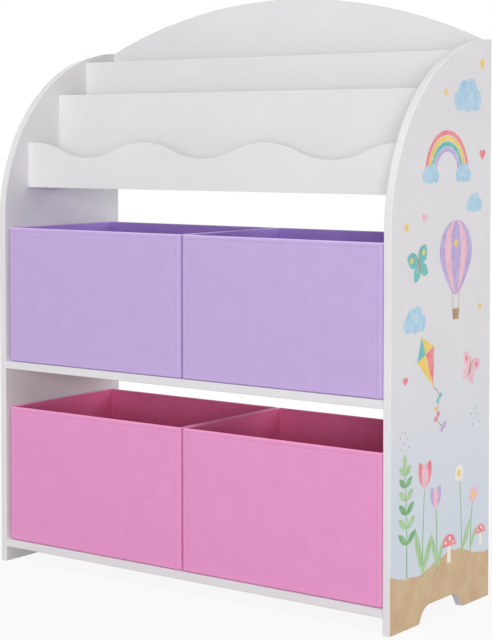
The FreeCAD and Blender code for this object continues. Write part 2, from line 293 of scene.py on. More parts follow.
# %% Beech, zinc and plated steel
beech_pore, pore_depth, beech_ring = 0.4 * mm, 0.03 * mm, 3 * mm
along_grain = 0.08
casting_cloud, plating_cloud = 2.5 * mm, 4 * mm
grit_per_cloud, grit_depth = 8, 0.02 * mm


def beech(name, stretch):
    """Raw beech, with pores and flecks drawn out along one direction of the unit."""
    material, tree, place = new_material(name)
    drawn = add(tree, "VectorMath", {0: place, 1: stretch}, operation="MULTIPLY")[0]
    _, wood = mottled(tree, drawn, beech_ring, ("#d9b78c", "#bd9466"), Detail=2.0)
    pores = add(tree, "TexNoise", {"Vector": drawn, "Scale": 1 / beech_pore, "Detail": 4.0})[0]
    wood = toned(tree, wood, pores, (0.55, 0.75), "#8f6a45", 0.5)
    surface(tree, {"Base Color": wood, "Roughness": 0.7}, pores, pore_depth, 0.5)
    return material


def bare_metal(name, tones, cloud, rough):
    """Metal with a cloudy surface: cloud is the size of its patches, rough the range of its roughness."""
    material, tree, place = new_material(name)
    _, colour = mottled(tree, place, cloud, tones, Detail=4.0)
    grit = add(tree, "TexNoise", {"Vector": place, "Scale": grit_per_cloud / cloud, "Detail": 2.0})[0]
    gloss = add(tree, "MapRange", {"Value": grit, "To Min": rough[0], "To Max": rough[1]})[0]
    surface(tree, {"Base Color": colour, "Metallic": 1.0, "Roughness": gloss}, grit, grit_depth, 0.4)
    return material


beech_across = beech("beech_along_width", (along_grain, 1, 1))
beech_deep = beech("beech_along_depth", (1, along_grain, 1))
cast_zinc = bare_metal("die_cast_zinc", ("#b9b8b4", "#94938f"), casting_cloud, (0.4, 0.6))
plated_steel = bare_metal("zinc_plated_steel", ("#cfcbbd", "#b3b6bd"), plating_cloud, (0.2, 0.38))
fasteners = {
    "end_dowels": beech_across, "back_dowels": beech_across, "floor_dowels": beech_deep,
    "cam_locks": cast_zinc, "cam_bolts": plated_steel, "step_screws": plated_steel,
}
for node, material in fasteners.items():
    dress(node, material)
print("fasteners:", list(fasteners))

# %% [markdown]
# ## Cloth of the bins
#
# Folding bins are sewn from spunbond polypropylene, a cloth of loose fibres that heated rollers weld
# together at a grid of small points. The eye gets a matt felt with cloudy fibres and a pattern of dimples, a
# little shinier where the fibres melted. The weld points are some 1.2 mm apart and the fibres finer than a
# hair. They are drawn at 2.4 mm and 0.5 mm, because finer ones melt into grey at the distance of the photo.
# The pattern follows the cloth round corners and over hems, so it lies on a map named cloth, which each sewn
# piece brings along in metres. Along the rim fold and the corners the colour goes over into a paler tone: a
# painted highlight, standing in for the light that the folds catch. A value on each vertex tells where: from
# 0 on the flat to 1 on a fold.

# %% Spunbond cloth
weld_pitch, weld_depth = 2.4 * mm, 0.12 * mm
fibre_width, fibre_cloud = 0.5 * mm, 30 * mm


def spunbond(name, light, dark, highlight):
    """Welded fibre cloth in two close tones, and a paler tone painted along folds as a highlight."""
    material, tree, flat = new_material(name, "cloth")
    turned = add(tree, "Mapping", {"Vector": flat, "Rotation": (0, 0, math.radians(45))})[0]
    grid = {"Vector": turned, "Scale": 1 / weld_pitch, "Randomness": 0.12}
    spot = add(tree, "TexVoronoi", grid, voronoi_dimensions="2D")["Distance"]
    round_weld = {"Value": spot, "From Min": 0.16, "From Max": 0.36}
    raised = add(tree, "MapRange", round_weld, interpolation_type="SMOOTHSTEP")[0]
    web = {"Vector": flat, "Scale": 1 / fibre_width, "Detail": 5.0, "Roughness": 0.65, "Distortion": 1.2}
    fibres = add(tree, "TexNoise", web)[0]
    cloud = add(tree, "TexNoise", {"Vector": flat, "Scale": 1 / fibre_cloud, "Detail": 4.0})[0]
    mixed = add(tree, "Math", {0: fibres, 1: 0.45, 2: cloud}, operation="MULTIPLY_ADD")[0]
    fold_highlight = add(tree, "Attribute", attribute_name="fold_highlight")["Fac"]

    colour = toned(tree, light, mixed, (0.5, 0.95), dark)
    colour = toned(tree, colour, raised, (1.0, 0.0), dark, 0.2)
    # Painted highlight: paler along the rim fold and beside the corners, where folds catch the light
    colour = toned(tree, colour, fold_highlight, (0.0, 1.0), highlight)
    rough = add(tree, "MapRange", {"Value": raised, "To Min": 0.62, "To Max": 0.86})[0]
    relief = add(tree, "Math", {0: fibres, 1: 0.35, 2: raised}, operation="MULTIPLY_ADD")[0]
    look = {"Base Color": colour, "Roughness": rough, "Specular IOR Level": 0.15}
    look.update({"Sheen Weight": 0.06, "Sheen Roughness": 0.45})
    surface(tree, look, relief, weld_depth, 0.5)
    return material


# The third tone of each cloth is the painted highlight along its folds
cloths = {
    "upper": spunbond("spunbond_lilac", "#c7b1e1", "#c4adde", "#dfc8fa"),
    "lower": spunbond("spunbond_pink", "#ea9dcd", "#e799ca", "#ffa7d6"),
}
# Linings: deeper, more saturated tones of the cover cloths, partly their own colour and partly painted shade
# for the inside of the bins
linings = {
    "upper": spunbond("spunbond_violet_lining_and_painted_shade", "#bc9ce8", "#b796e3", "#cdb6f0"),
    "lower": spunbond("spunbond_raspberry_lining_and_painted_shade", "#f07aae", "#ec73a7", "#f296be"),
}
print("cloth:", [material.name for material in (*cloths.values(), *linings.values())])

# %% [markdown]
# ## Thread and stiff boards
#
# The seams are sewn with polyester thread of two plies that turn about each other. Its colour wanders with
# noise between a light and a dark tone: a painted highlight for the bright crowns and painted shade for the
# dark valleys between the plies. Noise says that well enough at this size, and needs no map along each
# stitch. A ply is some 0.2 mm wide, and is drawn at 0.7 mm so that it shows. Pressed greyboard, made of
# waste paper, stiffens the walls. It has grey-brown pulp and dark flecks, and hides between cover and
# lining, so the plain boards of the frame will do.

# %% Thread and greyboard
ply_width, ply_depth = 0.7 * mm, 0.08 * mm
pulp_clump, pulp_depth, fleck_spacing = 3 * mm, 0.1 * mm, 4 * mm


def twisted_thread(name, tones):
    material, tree, place = new_material(name)
    # Light and dark tones: painted highlight on the crowns of the plies and painted shade in the valleys
    # between them
    plies, colour = mottled(tree, place, ply_width, tones, Detail=2.0)
    surface(tree, {"Base Color": colour, "Roughness": 0.5, "Sheen Weight": 0.2}, plies, ply_depth, 0.5)
    return material


def pressed_greyboard():
    material, tree, place = new_material("pressed_greyboard")
    pulp, colour = mottled(tree, place, pulp_clump, ("#a89e90", "#8d8578"), Detail=6.0)
    fleck = add(tree, "TexVoronoi", {"Vector": place, "Scale": 1 / fleck_spacing})["Distance"]
    colour = toned(tree, colour, fleck, (0.16, 0.08), "#5f594f", 0.7)
    surface(tree, {"Base Color": colour, "Roughness": 0.9}, pulp, pulp_depth, 0.4)
    return material


threads = {
    "upper": twisted_thread("polyester_thread_lilac", ("#c8b1e1", "#a890c8")),
    "lower": twisted_thread("polyester_thread_pink", ("#ea9fcd", "#cd7dae")),
}
greyboard = pressed_greyboard()
print("thread:", [material.name for material in threads.values()], "board:", greyboard.name)

# %% [markdown]
# ## The plan of a bin
#
# A bin is a rectangle in plan with small round corners, met again and again: outside of the cover, inside of
# the cover, lining, base. So one function gives a point on that rectangle for any inset. In the plan,
# complex numbers are handy: x is the real part, y the imaginary part, and a quarter turn is a factor of 1j.
# A place on the wall is a side (front, right, back, left), a share of that side and, in a corner, a turn.

# %% Plan of a bin
bin_corner = 4 * mm
tight_corner = 1.2 * mm


class Plan:
    """The outer rectangle of a bin in plan, with its height."""

    def __init__(self, name):
        self.low, self.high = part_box(name + "_cover")
        low, high = self.low, self.high
        front_left, rear_right = complex(low.x, low.y), complex(high.x, high.y)
        front_right, rear_left = complex(high.x, low.y), complex(low.x, high.y)
        self.corners = [front_left, front_right, rear_right, rear_left]

    def length(self, side):
        return abs(self.corners[(side + 1) % 4] - self.corners[side])

    def spot(self, inset, side, share, turn=0.0):
        """A point of the rectangle inset from the outside, and the way out of the wall there."""
        radius = max(bin_corner - inset, tight_corner)
        reach = inset + radius
        along = 1j**side
        out = -1j * along
        start = self.corners[side] + reach * (along - out)
        end = self.corners[(side + 1) % 4] - reach * (along + out)
        outward = out * math.cos(turn) + along * math.sin(turn)
        return start + (end - start) * share + radius * outward, outward


plans = {}
for row in ("lower", "upper"):
    for column in ("left", "right"):
        name = f"{row}_{column}_bin"
        plans[name] = Plan(name)
first = plans["lower_left_bin"]
print("bins:", list(plans), "each", [round(first.length(side) / mm, 1) for side in (0, 1)], "mm in plan")

# %% [markdown]
# ## Places round the wall
#
# A mesh needs points where the shape changes, and few elsewhere. On a bin that is beside the corners, where
# seams draw the cloth in. An even grid as fine as that would be several times as heavy. So the places stand
# close together near both ends of a side, and further apart between them.

# %% Places round a bin
seam_inset = 6 * mm
seam_marks = [0.0, 2.5 * mm, 4.8 * mm, seam_inset, 7.2 * mm, 10 * mm]
cloth_step = 7 * mm
corner_turns = [math.pi / 8, math.pi / 4, 3 * math.pi / 8]


def spread(length, marks, step):
    """Distances from 0 to length: close-set marks near both ends, and even steps between them."""
    middle = np.linspace(marks[-1], length - marks[-1], max(2, round((length - 2 * marks[-1]) / step)))
    return [*marks[:-1], *middle, *[length - mark for mark in reversed(marks[:-1])]]


def walk_round(plan):
    """Places all the way round a bin, denser at the seams beside its corners."""
    places = []
    for side in range(4):
        length = plan.length(side)
        places += [(side, mark / length, 0.0) for mark in spread(length, seam_marks, cloth_step)]
        places += [(side, 1.0, turn) for turn in corner_turns]
    return places


print("places round a bin:", len(walk_round(first)))

# %% [markdown]
# ## A skin over rings
#
# Every sewn piece is a stack of rings round the bin. Joining each ring to the next with four-sided faces
# gives a clean mesh, and a closed section gives cloth with a real thickness. A Solidify modifier could
# thicken a single sheet, but not draw a hem. The same loop writes the cloth map: how far along the ring and
# how far along the section each corner of a face lies.

# %% From mesh to piece
def piece_from(name, mesh, *materials):
    """A smooth object in the scene, from a finished bmesh."""
    data = bpy.data.meshes.new(name)
    mesh.to_mesh(data)
    mesh.free()
    data.polygons.foreach_set("use_smooth", [True] * len(data.polygons))
    for material in materials:
        data.materials.append(material)
    piece = bpy.data.objects.new(name, data)
    scene.collection.objects.link(piece)
    return piece


# %% Skin over rings
def walked(steps):
    """The way walked before the first of some steps and after each of them."""
    return np.concatenate([[0], np.cumsum(steps)])


def skin(name, rings, closed, material, fold_highlights=None):
    """A smooth mesh over rings of points. A closed section joins the last ring to the first one."""
    rings = np.array(rings)
    count = len(rings[0])
    section = np.concatenate([rings, rings[:1]]) if closed else rings
    once_round = np.concatenate([rings[0], rings[0][:1]])
    along = walked(np.linalg.norm(np.diff(once_round, axis=0), axis=1))
    across = walked(np.linalg.norm(np.diff(section, axis=0), axis=2).mean(axis=1))

    mesh = bmesh.new()
    cloth_map = mesh.loops.layers.uv.new("cloth")
    # Each vertex keeps its share of the painted highlight along folds, which the cloth material reads
    highlight = mesh.verts.layers.float.new("fold_highlight")
    vertices = [mesh.verts.new(point) for point in rings.reshape(-1, 3)]
    for vertex, fold_highlight in zip(vertices, np.ravel(fold_highlights or 0)):
        vertex[highlight] = fold_highlight
    for i in range(len(section) - 1):
        k = (i + 1) % len(rings)
        for j in range(count):
            n = (j + 1) % count
            corners = [(i, j, i, j), (i, n, i, j + 1), (k, n, i + 1, j + 1), (k, j, i + 1, j)]
            face = mesh.faces.new([vertices[ring * count + place] for ring, place, _, _ in corners])
            for loop, (_, _, v, u) in zip(face.loops, corners):
                loop[cloth_map].uv = (along[u], across[v])
    if not closed:
        for end in (0, len(rings) - 1):
            face = mesh.faces.new(vertices[end * count : (end + 1) * count])
            for loop in face.loops:
                loop[cloth_map].uv = loop.vert.co.xy
    bmesh.ops.recalc_face_normals(mesh, faces=mesh.faces)
    return piece_from(name, mesh, material)


print("a skin of 3 rings round a bin has", 2 * len(walk_round(first)), "faces")

# %% [markdown]
# ## How cloth lies on a board
#
# One strip of cloth goes round the four wall boards of a bin. It is taut but not glass: it stands a little
# off its boards, is drawn in along the seams and puckers beside them. A cloth simulation would be slow for
# so little slack, so the slack is a formula here, which also tells the stitches where the surface lies. The
# folds come from noise. Each side and each bin has its own place in it, so no two of them fold alike.

# %% Slack and seams
front_bow, side_bow, bow_flatness = 1.0 * mm, 0.25 * mm, 0.7
even_bow, folded_bow = 0.85, 0.25
fold_width, fold_height = 90 * mm, 70 * mm
fold_side, fold_column, fold_row = 7, 31, 13
hem_drop = 7 * mm
seam_groove, groove_half_width = 0.35 * mm, 1.1 * mm
pucker, pucker_reach = 0.6 * mm, 7 * mm
pucker_length, pucker_height = 26 * mm, 5 * mm
pucker_side, pucker_column = 5, 17


def soft_hill(distance, width):
    """1 at no distance, falling off smoothly to both sides."""
    return math.exp(-((distance / width) ** 2))


def slack(plan, side, share, height):
    """How far the cover stands off its boards: bowed between the corners, with soft uneven folds."""
    rise = min(max((height - plan.low.z) / (plan.high.z - plan.low.z), 0), 1)
    swell = math.sin(math.pi * share) * math.sin(math.pi * rise) ** bow_flatness
    along = fold_side * side + share * plan.length(side) / fold_width
    own_place = plan.low.x * fold_column + plan.low.z * fold_row
    fold = noise.noise(Vector((along, height / fold_height, own_place)))
    bow = side_bow if side % 2 else front_bow
    return bow * swell * (even_bow + folded_bow * fold)


def groove(plan, side, share, height):
    """How far the outside is drawn in along the hem and the corner seams, and puckered beside them."""
    along = share * plan.length(side)
    reach = min(share, 1 - share) * plan.length(side)
    below_rim, above_foot = plan.high.z - height, height - plan.low.z
    seam = soft_hill(reach - seam_inset, groove_half_width) if below_rim > hem_drop else 0
    hem = soft_hill(below_rim - hem_drop, groove_half_width)
    beside = soft_hill(below_rim - 2 * hem_drop, pucker_reach)
    beside += soft_hill(above_foot - hem_drop, pucker_reach)
    own_place = pucker_side * side + plan.low.x * pucker_column
    wrinkle = noise.noise(Vector((along / pucker_length, height / pucker_height, own_place)))
    return seam_groove * max(seam, hem) - pucker * beside * abs(wrinkle)


def drawn_in(*place):
    """How far the outside of the cover stands off, seams and puckers included."""
    return slack(*place) - groove(*place)


middle_height = (first.low.z + first.high.z) / 2
print("slack in the middle of a front:", round(slack(first, 0, 0.5, middle_height) / mm, 2), "mm")

# %% [markdown]
# ## A section carried round the bin
#
# Each cloth has one section all round. It is drawn once as rows, each an inset and a height, with small arcs
# for the folds, and is then carried round the bin as rings. A curve with a bevel profile could carry it too,
# but couldn't let the cloth bow between the corners.

# %% Rows into rings
def bend(inset, height, radius, start, end, steps=4):
    """Rows of a small arc in a wall's section, from one angle to another: 0 faces out and 90 up."""
    angles = np.radians(np.linspace(start, end, steps + 1))
    return [(inset - radius * math.cos(angle), height + radius * math.sin(angle)) for angle in angles]


def carried(plan, rows, moved=None):
    """Rows of a section as rings of points. moved gives an extra distance outwards for each place."""
    rings = []
    for inset, height in rows:
        ring = []
        for side, share, turn in walk_round(plan):
            point, outward = plan.spot(inset, side, share, turn)
            if moved and turn == 0.0:
                point += outward * moved(plan, side, share, height)
            ring.append((point.real, point.imag, height))
        rings.append(ring)
    return rings


print("a half-round fold takes", len(bend(0, 0, mm, 0, 180)), "rows")

# %% [markdown]
# ## The cover of a bin
#
# At the rim the strip folds over the boards and ends in a flap behind the lining. At the foot it turns under
# and is sewn onto the bottom cloth, which ends a little further in, so a narrow dark slot is left above the
# shelf. Its section runs up the outside, over the rim and down the inside. A wall without a fold would need
# fewer rows, but its rim wouldn't catch the light as a fold does.

# %% Cover
thickness = 0.8 * mm
rim_round, rim_inner_round, rim_width = 1.6 * mm, 1.0 * mm, 3.85 * mm
flap = 9 * mm
under_hem, under_reach = 0.1 * mm, 5.2 * mm
slot_height, foot_round = 0.85 * mm, 0.9 * mm
# The painted highlight of folds: how far down from the rim it reaches, and its share beside the corners
highlight_reach, corner_highlight = 3 * mm, 0.15
foot_marks = [step * mm for step in (2, 4, 6, 8, 10, 12, 15, 19)]
hem_marks = [step * mm for step in (-3, -1.2, -0.5, 0, 0.5, 1.2, 2.5, 4)]
wall_step = 9 * mm


def wall_heights(plan):
    """Heights of the cover's rows, denser about the hem and where the cloth puckers."""
    foot, hem = plan.low.z + under_hem + slot_height + foot_round, plan.high.z - hem_drop
    rows = [foot + mark for mark in spread(hem + hem_marks[0] - foot, foot_marks, wall_step)]
    return rows + [hem + mark for mark in hem_marks]


def fold_highlight_at(plan, height):
    """Painted highlight of folds: along the rim, and fainter where the flat of a wall goes over into a
    corner.
    """
    rim = max(0.0, 1 - (plan.high.z - height) / highlight_reach)
    wall_ends = [share in (0.0, 1.0) and not turn for _, share, turn in walk_round(plan)]
    return [max(rim, corner_highlight if wall_end else 0.0) for wall_end in wall_ends]


def sewn_cover(name, plan, material):
    top, foot = plan.high.z, plan.low.z + under_hem + slot_height
    inner_rim = (rim_width - rim_inner_round, top - rim_inner_round)
    walls = wall_heights(plan)
    under = [(under_reach, foot)] + bend(foot_round, foot + foot_round, foot_round, -90, 0)
    fold = bend(rim_round, top - rim_round, rim_round, 0, 90)
    fold += bend(*inner_rim, rim_inner_round, 90, 180)
    fold += bend(rim_width - thickness / 2, top - flap, thickness / 2, 180, 360)
    fold += bend(*inner_rim, rim_inner_round - thickness, 180, 90, 2)
    fold += bend(rim_round, top - rim_round, rim_round - thickness, 90, 0, 2)
    back_under = bend(foot_round, foot + foot_round, foot_round - thickness, 0, -90, 2)
    back_under += bend(under_reach, foot + thickness / 2, thickness / 2, 90, 270, 2)[:-1]

    rings = carried(plan, under) + carried(plan, [(0, z) for z in walls], drawn_in) + carried(plan, fold)
    rings += carried(plan, [(thickness, z) for z in reversed(walls)], slack) + carried(plan, back_under)
    # A share of painted highlight for each point of each ring
    fold_highlights = [fold_highlight_at(plan, ring[0][2]) for ring in rings]
    return skin(name + "_cover_cloth", rings, True, material, fold_highlights)


print("cover:", round(thickness / mm, 1), "mm cloth,", len(wall_heights(first)), "rows up the outside")

# %% [markdown]
# ## Lining and flat pieces
#
# The lining hangs inside the boards, from just under the rim. It is looser than the cover, and wanders a
# little. The bottom cloth and the loose base are flat pieces with a sewn border. A flat box would do for
# them, but would look like card. So they are rings again, which step in towards the middle, with a groove
# where the stitches pull the border down.

# %% Lining, bottom and base
lining_inset, lining_drop, lining_wander = 3.95 * mm, 0.9 * mm, 0.8 * mm
lining_fold_width, lining_fold_height = 60 * mm, 50 * mm
lining_side, lining_column, lining_rows = 9, 23, 20
base_lift = 1.8 * mm
deepest_dip, dip_share = 0.35 * mm, 0.4
border_dips = ((2.0 * mm, 0.0), (1.0 * mm, 0.4), (0.0, 1.0), (-1.0 * mm, 0.4), (-2.0 * mm, 0.0))
field_shares = (0.94, 0.8, 0.6, 0.4, 0.22)


def lining_slack(plan, side, share, height):
    """The lining wanders a little between rim and foot, and always away from its boards."""
    rise = (height - plan.low.z) / (plan.high.z - plan.low.z)
    along = lining_side * side + share * plan.length(side) / lining_fold_width
    fold = noise.noise(Vector((along, height / lining_fold_height, plan.low.x * lining_column)))
    freedom = max(0.0, math.sin(math.pi * rise)) * math.sin(math.pi * share)
    return -lining_wander * abs(fold) * freedom


def inner_lining(name, plan, material):
    half = thickness / 2
    foot, top = plan.low.z + base_lift, plan.high.z - lining_drop
    heights = list(np.linspace(foot + thickness, top - thickness, lining_rows))
    rings = carried(plan, [(lining_inset + thickness, z) for z in heights], lining_slack)
    rings += carried(plan, bend(lining_inset + half, top - half, half, 180, 0))
    rings += carried(plan, [(lining_inset, z) for z in reversed(heights)], lining_slack)
    rings += carried(plan, bend(lining_inset + half, foot + half, half, 360, 180))
    return skin(name + "_lining_cloth", rings, True, material)


def flat_piece(name, plan, inset, foot, top, border, material):
    """A flat piece with round edges, and a groove where stitches pull its border down."""
    half = (top - foot) / 2
    dip = min(dip_share * half, deepest_dip)
    field = [inset + share * (plan.length(1) / 2 - inset) for share in field_shares]
    rows = [(at, top) for at in field]
    rows += [(inset + border + step, top - dip * depth) for step, depth in border_dips]
    rows += bend(inset + half, foot + half, half, 90, -90, 6)
    rows += [(at, foot) for at in [inset + border, *reversed(field)]]
    return skin(name, carried(plan, rows), False, material)


print("lining:", round(lining_inset / mm, 2), "mm inside the outer face")

# %% [markdown]
# ## A stitch
#
# A stitch is a short length of thread that comes out of the cloth, lies on it and goes in again. At the
# distance of the photo a row of them is only a faint broken line, but close up it is what says sewn. A
# dashed line in the material would stay flat, so each stitch is a small closed spindle. Real thread is
# 0.35 mm thick at 3.5 mm a stitch. Here it is 0.6 mm at 5 mm, so that it shows.

# %% Stitch helper
stitch_pitch, stitch_length = 5 * mm, 3.6 * mm
thread_radius, thread_sides = 0.3 * mm, 6
# Each ring of the spindle: its place in half lengths, its girth and its lift off the cloth in radii
spindle = ((-1.0, 0.35, -0.5), (-0.55, 1.0, 0.35), (0.55, 1.0, 0.35), (1.0, 0.35, -0.5))


def sew(name, stitches, material):
    """All stitches of one piece. Each is a middle point, the way along it and the way out of the cloth."""
    mesh = bmesh.new()
    for middle, along, out in stitches:
        beside = along.cross(out)
        loops = []
        for place, girth, lift in spindle:
            centre = middle + along * (place * stitch_length / 2) + out * (lift * thread_radius)
            loop = []
            for i in range(thread_sides):
                turn = 2 * math.pi * i / thread_sides
                spoke = beside * math.cos(turn) + out * math.sin(turn)
                loop.append(mesh.verts.new(centre + spoke * (girth * thread_radius)))
            loops.append(loop)
        for first_loop, second_loop in zip(loops, loops[1:]):
            for i in range(thread_sides):
                n = (i + 1) % thread_sides
                mesh.faces.new((first_loop[i], first_loop[n], second_loop[n], second_loop[i]))
        mesh.faces.new(reversed(loops[0]))
        mesh.faces.new(loops[-1])
    bmesh.ops.recalc_face_normals(mesh, faces=mesh.faces)
    return piece_from(name, mesh, material)


print("stitches:", round(stitch_length / mm, 1), "mm long,", round(stitch_pitch / mm, 1), "mm apart")

# %% [markdown]
# ## Rows of stitches
#
# A bin has a row under the rim, inside and out, a row down each side of its corners, and a row round the
# loose base. An Array modifier along a curve could set them, but wouldn't know how the cloth bows. The
# formulas of the cloth do, so each row asks them where the surface lies.

# %% Rows of stitches
def in_space(point, height=0.0):
    """A point or a direction of the plan as a vector in space."""
    return Vector((point.real, point.imag, height))


def round_seam(plan, inset, height, outward, moved):
    """Stitches on a wall all the way round, at one height."""
    for side in range(4):
        edge = seam_inset / plan.length(side)
        count = round((plan.length(side) - 2 * seam_inset) / stitch_pitch)
        for share in np.linspace(0, 1, count + 1) * (1 - 2 * edge) + edge:
            point, out = plan.spot(inset, side, share)
            point += out * moved(plan, side, share, height)
            yield in_space(point, height), in_space(1j**side), outward * in_space(out)


def corner_seams(plan):
    """Stitches down the two seams beside each corner."""
    heights = np.arange(plan.low.z + stitch_pitch, plan.high.z - hem_drop - stitch_pitch / 2, stitch_pitch)
    for side in range(4):
        for reach in (seam_inset, plan.length(side) - seam_inset):
            share = reach / plan.length(side)
            for height in heights:
                point, out = plan.spot(0, side, share)
                point += out * drawn_in(plan, side, share, height)
                yield in_space(point, height), Vector((0, 0, 1)), in_space(out)


def base_seam(plan, inset, height):
    """Stitches on the flat of the base, along its border."""
    for side in range(4):
        start, _ = plan.spot(inset, side, 0)
        end, _ = plan.spot(inset, side, 1)
        for share in np.linspace(0, 1, round(abs(end - start) / stitch_pitch) + 1):
            yield in_space(start + (end - start) * share, height), in_space(1j**side), Vector((0, 0, 1))


print("corner seams of a bin:", len(list(corner_seams(first))), "stitches")

# %% [markdown]
# ## Sewing the four bins
#
# Each bin is a cover, a lining, a bottom cloth and a loose base, which is a board wrapped in the lining's
# cloth. The base rides on a body of its own, because it lifts out. The wall boards stay as they are in the
# frame, hidden between cover and lining. Each cloth's size as it was cut is printed: once round the bin, and
# as high as the wall with its folds and flap.

# %% Four bins
bottom_inset = 3.4 * mm
base_inset, base_border, base_dip = 5.6 * mm, 7 * mm, 0.3 * mm


def sew_bin(name, plan):
    """All sewn pieces of one bin, riding on their bodies in place of the plain solids."""
    row = name.split("_")[0]
    around = 2 * (plan.length(0) + plan.length(1))
    wall = plan.high.z - plan.low.z
    foot, hem = plan.low.z + under_hem, plan.high.z - hem_drop
    base_low, base_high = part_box(name + "_base_insert")
    base_heights = (base_low.z + under_hem, base_high.z)

    cover = sewn_cover(name, plan, cloths[row])
    lining = inner_lining(name, plan, linings[row])
    bottom_name, base_name = name + "_bottom_sheet", name + "_wrapped_base"
    bottom = flat_piece(bottom_name, plan, bottom_inset, foot, foot + thickness, seam_inset, cloths[row])
    base = flat_piece(base_name, plan, base_inset, *base_heights, base_border, linings[row])

    rows = [*round_seam(plan, 0, hem, 1, drawn_in), *corner_seams(plan)]
    rows += round_seam(plan, lining_inset + thickness, hem, -1, lining_slack)
    stitching = sew(name + "_stitching", rows, threads[row])
    base_rows = list(base_seam(plan, base_inset + base_border, base_high.z - base_dip))
    base_stitching = sew(name + "_base_stitching", base_rows, threads[row])

    places = ((cover, name, "_cover"), (lining, name, "_lining"), (bottom, name, "_bottom_cloth"))
    for piece, body, node in (*places, (base, name + "_base", "_base_insert")):
        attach(piece, body)
        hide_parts(name + node)
    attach(stitching, name)
    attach(base_stitching, name + "_base")

    boards = [f"{name}_{side}_board" for side in ("front", "back", "left", "right")]
    for board in boards:
        dress(board, greyboard)
    cover_size = (around, wall + rim_width + flap + under_reach)
    lining_size = (around - 8 * lining_inset, wall - base_lift - lining_drop)
    bottom_size = (plan.length(0) - 2 * bottom_inset, plan.length(1) - 2 * bottom_inset)
    sizes = [[round(side / mm) for side in size] for size in (cover_size, lining_size, bottom_size)]
    print(name, "cloths cut to", sizes, "mm,", len(rows) + len(base_rows), "stitches")


for name, plan in plans.items():
    sew_bin(name, plan)

# %% [markdown]
# ## A print of garden and sky
#
# The sides carry a nursery print. It could be a picture, but its edges would blur close up, and a print is a
# film of ink. So each motif is a set of thin flat plates, a few hundredths of a millimetre high, that lie on
# the panel and on each other in the order in which they are drawn. Outlines are lists of complex numbers
# again: the real part counts millimetres from the front edge towards the back, the imaginary part counts
# millimetres above the floor, and a factor turns a shape.

# %% Closed outlines
def turns(count=40):
    """Angles all the way round, in even steps."""
    return np.linspace(0, 2 * math.pi, count, endpoint=False)


def disc(centre, radius):
    return centre + radius * (np.cos(turns()) + 1j * np.sin(turns()))


def leaf(base, tip, width):
    """A shape that is pointed at both ends."""
    share = np.linspace(0, 1, 13)
    half = 0.5j * width * np.sin(math.pi * share) ** 0.8 * (tip - base) / abs(tip - base)
    spine = base + (tip - base) * share
    return np.concatenate([spine - half, (spine + half)[-2:0:-1]])


def star(centre, radius):
    reach = np.where(np.arange(10) % 2, 0.5, 1.0) * radius
    return centre + reach * np.exp(1j * (turns(10) + math.pi / 2))


def heart(centre, size):
    """The well-known heart curve, a sum of sines and cosines that is 32 wide."""
    t = turns()
    across = 16 * np.sin(t) ** 3
    up = 13 * np.cos(t) - 5 * np.cos(2 * t) - 2 * np.cos(3 * t) - np.cos(4 * t)
    return centre + size / 32 * (across + 1j * up)


def puff(centre, size, bumps):
    """The outline round overlapping discs, each a place and a radius in shares of the size."""
    rays = np.exp(1j * turns(72))
    reach = np.zeros(len(rays))
    for place, radius in bumps:
        ahead = (place * rays.conj()).real
        beside = (place * rays.conj()).imag
        inside = radius**2 - beside**2
        reach = np.maximum(reach, np.where(inside > 0, ahead + np.sqrt(np.maximum(inside, 0)), 0))
    return centre + size * reach * rays


print("a disc has", len(disc(0, 1)), "points and a leaf", len(leaf(0, 1, 1)))

# %% Bands and strokes
def arch(centre, inner, outer):
    """A half ring that stands on its two feet."""
    half = np.exp(1j * np.linspace(0, math.pi, 25))
    return centre + np.concatenate([outer * half, inner * half[::-1]])


def curve(start, pull, end, share=np.linspace(0, 1, 12)):
    """Points at shares of a curve from start to end, drawn towards a third point."""
    return (1 - share) ** 2 * start + 2 * share * (1 - share) * pull + share**2 * end


def ribbon(points, width, end_width=None):
    """A brush stroke along points, from one width to another."""
    points = np.array(points, complex)
    way = np.gradient(points)
    widths = np.linspace(width, width if end_width is None else end_width, len(points))
    side = 0.5j * widths * way / abs(way)
    return np.concatenate([points - side, (points + side)[::-1]])


print("a brush stroke has", len(ribbon(curve(0, 1j, 1), 0.1)), "points")

# %% [markdown]
# ## Motifs of the sky
#
# A motif yields inks and outlines, from the lowest film to the top one. All of them are stock nursery shapes
# built from the outlines above. A drawing program could export them as curves. Written as formulas, in
# shares of the motif's size, they stay light, and a size or a place is one number to change.

# %% Cloud, rainbow and balloon
small_puffs = ((-0.3 - 0.05j, 0.2), (0.3 - 0.04j, 0.21), (0.13 + 0.14j, 0.22), (-0.13 + 0.12j, 0.2))
cloud_bumps = ((0, 0.27), *small_puffs)


def cloud(centre, size):
    yield "sky", puff(centre, size, cloud_bumps)


def rainbow(centre, radius):
    band, gap = 0.13 * radius, 0.02 * radius
    for i, ink in enumerate(("coral", "sun", "teal", "lilac")):
        yield ink, arch(centre, radius - (i + 1) * band, radius - i * band - gap)
    for side in (-1, 1):
        yield from cloud(centre + side * 0.74 * radius - 0.04j * radius, 0.72 * radius)


def balloon(centre, radius):
    t = turns(60)
    drop = np.maximum(0, -np.cos(t))
    envelope = np.sin(t) * (1 - 0.42 * drop**2) + 1j * np.cos(t) * (1 + 0.35 * drop)
    for ink, share in (("lilac", 1.0), ("blush", 0.68), ("lilac", 0.3)):
        yield ink, centre + radius * (share * envelope.real + 1j * envelope.imag)
    basket = centre - 1.95j * radius
    for side in (-1, 1):
        rope = [centre + radius * (0.2 * side - 1.22j), basket + radius * (0.17 * side + 0.16j)]
        yield "bark", ribbon(rope, 1.2)
    corners = np.array([-0.22 + 0.18j, -0.17 - 0.16j, 0.17 - 0.16j, 0.22 + 0.18j])
    yield "bark", basket + radius * corners
    yield "sun", disc(centre + 0.28j * radius, 0.12 * radius)


